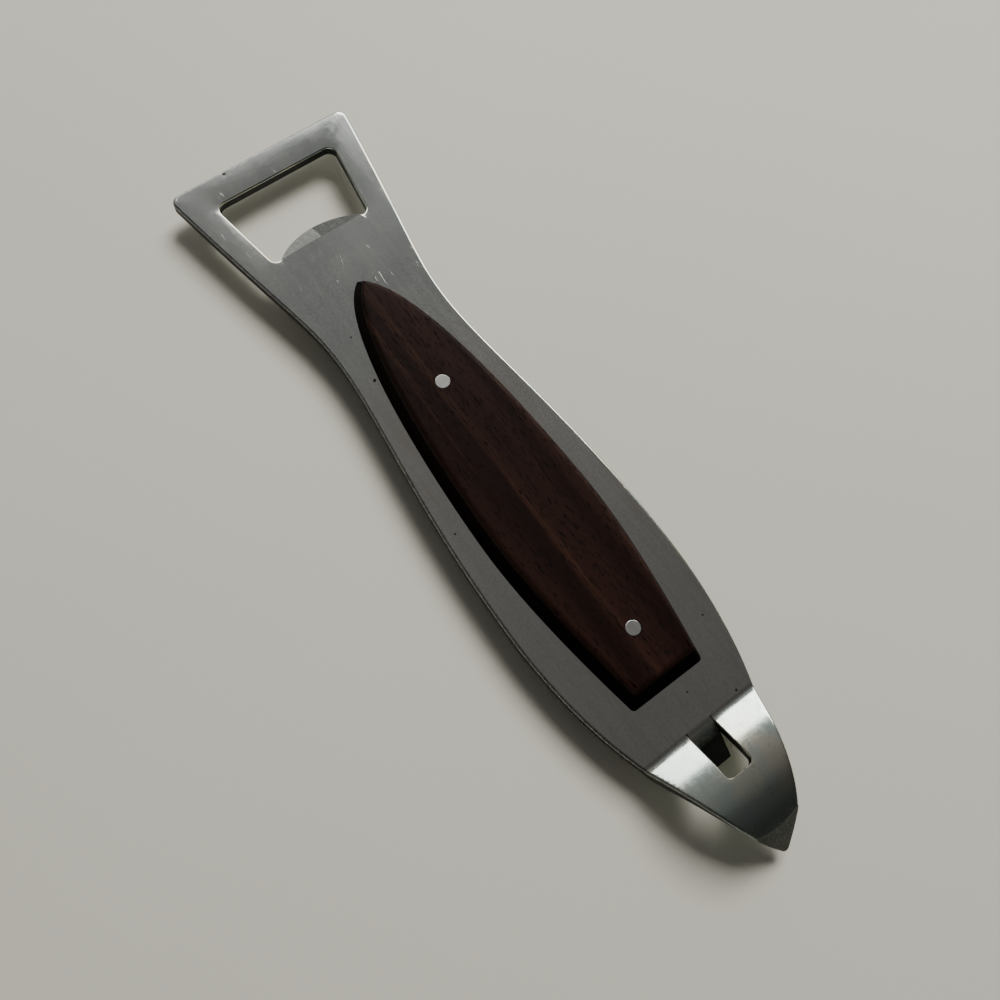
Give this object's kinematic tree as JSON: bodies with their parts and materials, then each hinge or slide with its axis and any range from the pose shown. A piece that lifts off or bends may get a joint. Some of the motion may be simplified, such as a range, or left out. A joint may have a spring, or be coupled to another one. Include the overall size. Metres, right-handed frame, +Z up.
{
  "type": "manual can and bottle opener",
  "caption": "Flat steel hand tool: a bottle-cap mouth at one end, an arched can-piercing point with a hook tongue at the other, and wooden handle scales pinned on both faces.",
  "frame": {"origin": "middle of the tool's length and width, on the rear scale's flat face, which is the lowest face", "axes": "+X along the tool towards the piercing point, +Y across it, +Z up, out of the front scale's face"},
  "size_m": [0.171, 0.0414, 0.0125],
  "materials": {
    "steel": "satin stainless, finely brushed along the tool, polished on the piercer and the edges",
    "wood": "very dark rosewood with reddish streaks and open pores, oiled",
    "pin_steel": "cut and sanded flush with the wood"
  },
  "bodies": {
    "root": {"blade": "steel", "front_scale": "wood", "rear_scale": "wood", "bottle_end_pin": "pin_steel", "piercer_end_pin": "pin_steel"}
  },
  "joints": []
}
